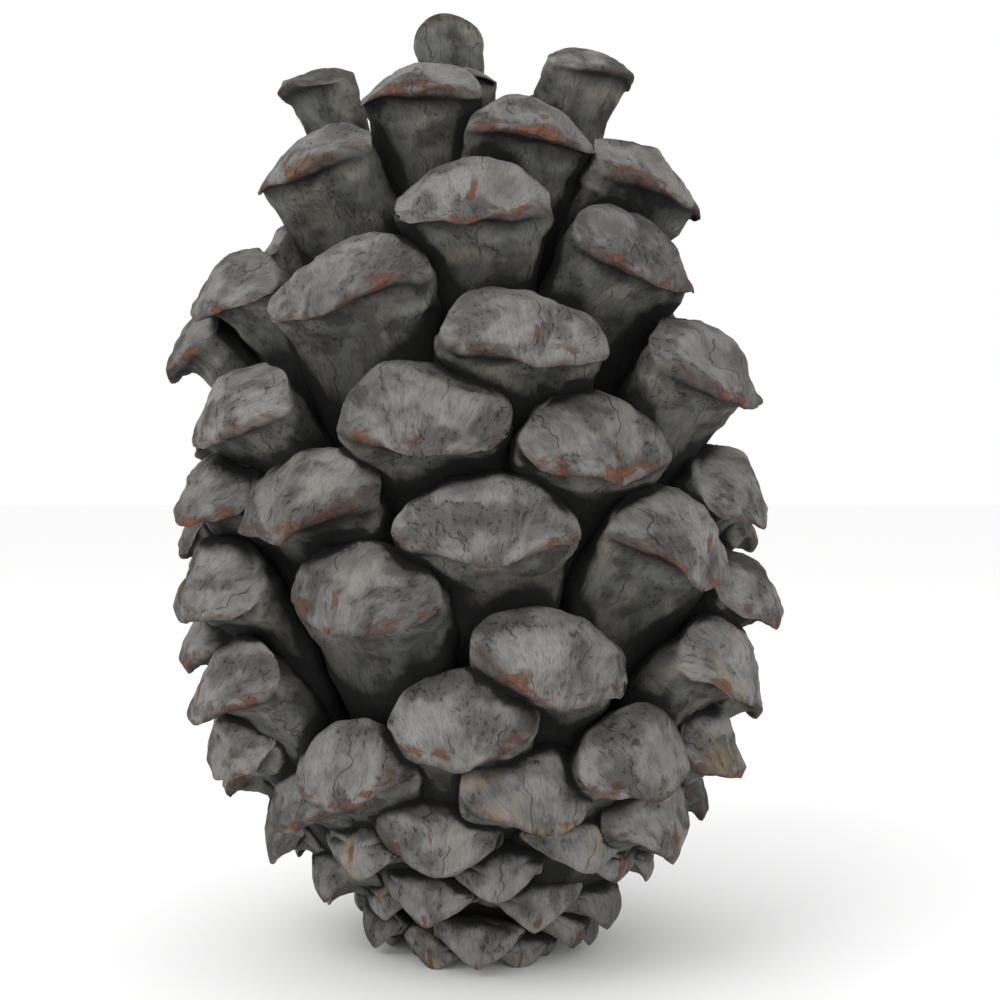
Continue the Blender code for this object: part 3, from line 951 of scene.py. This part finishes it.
def makeCore(material):
    heights = [h for h, _ in core["profile"]]
    radii = [r for _, r in core["profile"]]
    counts = core["ridgeCounts"]
    draw = random.Random(coneGrowth["seed"] + 2)
    phases = [draw.uniform(0, 2 * math.pi) for _ in counts]
    bm = bmesh.new()
    rings = []
    for level in range(core["levels"] + 1):
        height = heights[-1] * level / core["levels"]
        radius = smoothBetween(height, heights, radii) - core["inset"]
        lean = coneGrowth["lean"] * (height - coneGrowth["leanLevel"]) * smoothStep(*core["leanFrom"], height)
        turn = height * core["ridgeTwist"]
        ring = []
        for k in range(core["around"]):
            angle = 2 * math.pi * k / core["around"]
            ridge = sum(math.sin(angle * count + phase + turn) for count, phase in zip(counts, phases))
            out = radius + core["ridges"] * ridge / len(counts) * smoothStep(*core["ridgesFrom"], height)
            x, y = out * math.sin(angle) + lean, -out * math.cos(angle)
            ring.append(bm.verts.new((x * mm, y * mm, height * mm)))
        rings.append(ring)
    for lower, higher in zip(rings, rings[1:]):
        for k in range(core["around"]):
            bm.faces.new((lower[k - 1], lower[k], higher[k], higher[k - 1]))
    bm.faces.new(rings[0])
    bm.faces.new(rings[-1])
    bmesh.ops.recalc_face_normals(bm, faces=bm.faces)
    mesh = bpy.data.meshes.new("coneCore")
    bm.to_mesh(mesh)
    bm.free()
    mesh.materials.append(material)
    mesh.shade_smooth()
    mesh.set_sharp_from_angle(angle=math.radians(core["sharpDeg"]))
    piece = bpy.data.objects.new("coneCore", mesh)
    bpy.context.scene.collection.objects.link(piece)
    print("coneCore", len(mesh.polygons), "faces")
    return piece


studio = {
    "floorColour": (0.96, 0.96, 0.955, 1),
    "floorRoughness": 0.9,
    "floorReach": 12.0,         # metres each way
    "worldColour": (1, 1, 1, 1),
    "worldStrength": 1.0,
    "aimHeight": 0.04,          # the lights point here
    "lights": (                 # watts, side in metres and place
        ("keyLight", 0.95, 0.30, (-0.24, -0.30, 0.36)),
        ("lowLight", 1.15, 0.50, (0.06, -0.42, 0.0)),
    ),
}

photoView = {
    "distance": 0.1362,         # metres from the core to the camera
    "height": 0.0375,
    "lens": 57.6,
    "sensor": 36.0,
    "shiftX": 0.031,
    "nearest": 0.005,
}


def makeStudio():
    scene = bpy.context.scene
    reach = studio["floorReach"]
    corners = [(-reach, -reach, 0), (reach, -reach, 0), (reach, reach, 0), (-reach, reach, 0)]
    floorMesh = bpy.data.meshes.new("studioFloor")
    floorMesh.from_pydata(corners, [], [(0, 1, 2, 3)])
    floor = bpy.data.objects.new("studioFloor", floorMesh)
    scene.collection.objects.link(floor)
    material, _, shader = newMaterial("studioPaper")
    shader.inputs["Base Color"].default_value = studio["floorColour"]
    shader.inputs["Roughness"].default_value = studio["floorRoughness"]
    floorMesh.materials.append(material)

    world = bpy.data.worlds.new("studioWorld")
    world.use_nodes = True
    background = world.node_tree.nodes["Background"]
    background.inputs["Color"].default_value = studio["worldColour"]
    background.inputs["Strength"].default_value = studio["worldStrength"]
    scene.world = world
    scene.view_settings.view_transform = "Standard"

    aim = Vector((0, 0, studio["aimHeight"]))
    for name, watts, size, place in studio["lights"]:
        lamp = bpy.data.lights.new(name, "AREA")
        lamp.energy = watts
        lamp.size = size
        light = bpy.data.objects.new(name, lamp)
        light.location = place
        light.rotation_euler = (aim - Vector(place)).to_track_quat("-Z", "Y").to_euler()
        scene.collection.objects.link(light)

    view = bpy.data.cameras.new("photoCamera")
    view.lens = photoView["lens"]
    view.sensor_width = photoView["sensor"]
    view.shift_x = photoView["shiftX"]
    view.clip_start = photoView["nearest"]
    camera = bpy.data.objects.new("photoCamera", view)
    camera.location = (0, -photoView["distance"], photoView["height"])
    camera.rotation_euler = (math.radians(90), 0, 0)
    scene.collection.objects.link(camera)
    scene.camera = camera


print("studio")
makeStudio()

print("materials")
weather = buildWeatherGroup()
scaleWood = makeScaleWood(weather)
coreWood = makeCoreWood(weather)

print("scales")
places = growPlaces()
patternScale = makePatternScale()
growthTree = buildGrowthTree()
zones = {                       # first rank and the one after the last
    "baseScales": (0, 34),
    "lowerScales": (34, 67),
    "middleScales": (67, 100),
    "upperScales": (100, 132),
}
pieces = [
    growScales(name, places[first:last], growthTree, patternScale, scaleWood)
    for name, (first, last) in zones.items()
]
bpy.data.objects.remove(patternScale)
pieces.append(makeCore(coreWood))

# the scales' box is centred on the solid's, as the solid's is on the origin
corners = [vert.co for piece in pieces for vert in piece.data.vertices]
for axis in (0, 1):
    middle = (min(c[axis] for c in corners) + max(c[axis] for c in corners)) / 2
    wanted = (cadBox[0][axis] + cadBox[1][axis]) / 2
    for piece in pieces:
        for vert in piece.data.vertices:
            vert.co[axis] += wanted - middle

print("shadeRays")
gatherDirt(pieces)

for piece in pieces:
    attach(piece, "root")
    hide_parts("pine_cone")
